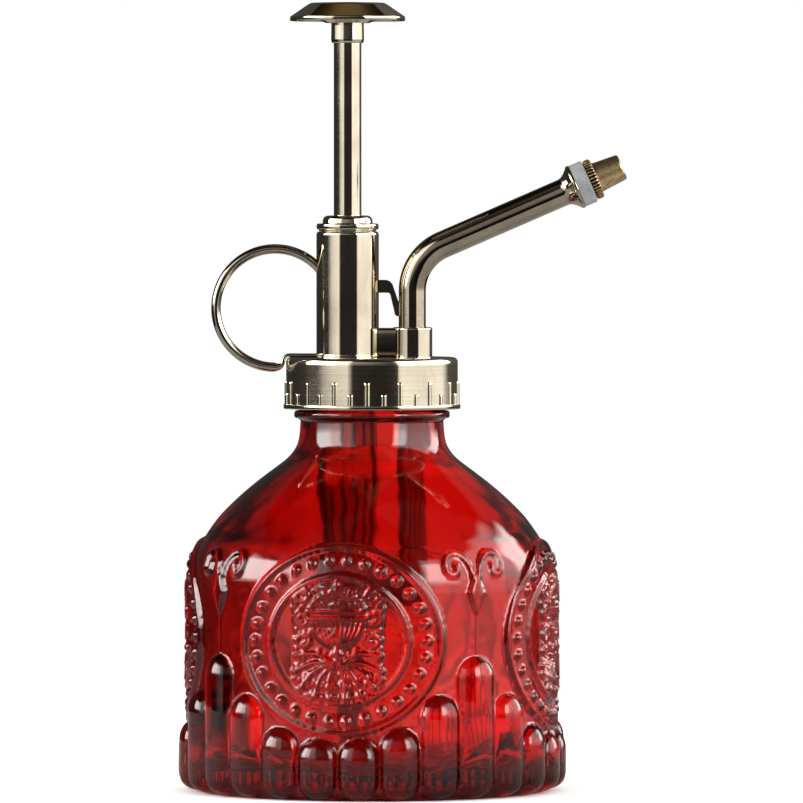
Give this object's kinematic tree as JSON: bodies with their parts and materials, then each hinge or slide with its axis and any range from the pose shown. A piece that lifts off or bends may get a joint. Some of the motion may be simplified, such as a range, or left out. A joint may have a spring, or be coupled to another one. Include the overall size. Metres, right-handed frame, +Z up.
{
  "type": "hand mister",
  "caption": "Fluted ruby glass bottle with a screw-on plated pump: push-button plunger, finger ring and an upturned spray nozzle.",
  "frame": {"origin": "centre of the bottle's base, in the plane it stands on", "axes": "+Z up along the bottle's axis, +X towards the spray nozzle, with the finger ring towards -X"},
  "size_m": [0.0942, 0.0816, 0.1652],
  "materials": {
    "ruby_glass": "pressed, gloss",
    "plated_metal": "polished bronze-nickel plate",
    "bare_brass": "turned, slightly dulled",
    "white_nylon": "satin",
    "black_rubber": "matt",
    "spring_steel": "drawn wire",
    "ball_steel": "polished"
  },
  "bodies": {
    "bottle": {"bottle": "ruby_glass"},
    "gasket": {"rim_gasket": "white_nylon"},
    "head": {"screw_cap": "plated_metal", "barrel_sleeve": "plated_metal", "barrel_cap": "plated_metal", "rod_wiper": "black_rubber", "finger_ring": "plated_metal", "nozzle_socket": "plated_metal", "brace": "plated_metal", "pump_cylinder": "plated_metal", "cylinder_seal": "black_rubber", "valve_block": "white_nylon", "inlet_cage": "white_nylon", "delivery_tube": "plated_metal", "dip_tube": "white_nylon", "nozzle_tube": "plated_metal", "nozzle_washer": "white_nylon", "swirl_core": "white_nylon", "return_spring": "spring_steel"},
    "plunger": {"plunger_rod": "plated_metal", "rod_ferrule": "plated_metal", "thumb_button": "plated_metal", "piston": "white_nylon", "piston_seal": "black_rubber", "piston_nut": "bare_brass"},
    "nozzle": {"nozzle_cap": "bare_brass"},
    "inlet_valve": {"inlet_ball": "ball_steel"},
    "outlet_valve": {"outlet_ball": "ball_steel"}
  },
  "joints": [
    {"name": "cap_rise", "type": "slide", "parent": "bottle", "child": "gasket", "axis": [0, 0, 1], "range_m": [0, 0.004]},
    {"name": "cap_turn", "type": "hinge", "parent": "gasket", "child": "head", "pos_m": [0, 0, 0.09], "axis": [0, 0, 1], "range_deg": [0, 451]},
    {"name": "plunger_slide", "type": "slide", "parent": "head", "child": "plunger", "axis": [0, 0, -1], "range_m": [0, 0.035], "stiffness_N_per_m": 300, "springref_m": -0.01, "deforming": ["return_spring"]},
    {"name": "nozzle_turn", "type": "hinge", "parent": "head", "child": "nozzle", "pos_m": [0.04606, 0, 0.12795], "axis": [0.9171, 0, 0.3987], "range_deg": [0, 180]},
    {"name": "inlet_ball_lift", "type": "slide", "parent": "head", "child": "inlet_valve", "axis": [0, 0, 1], "range_m": [0, 0.0019]},
    {"name": "outlet_ball_lift", "type": "slide", "parent": "head", "child": "outlet_valve", "axis": [0, 0, 1], "range_m": [0, 0.0021]}
  ],
  "couplings": [
    {"joint": "cap_turn", "follows": "cap_rise", "rad_per_m": 1963.5}
  ]
}
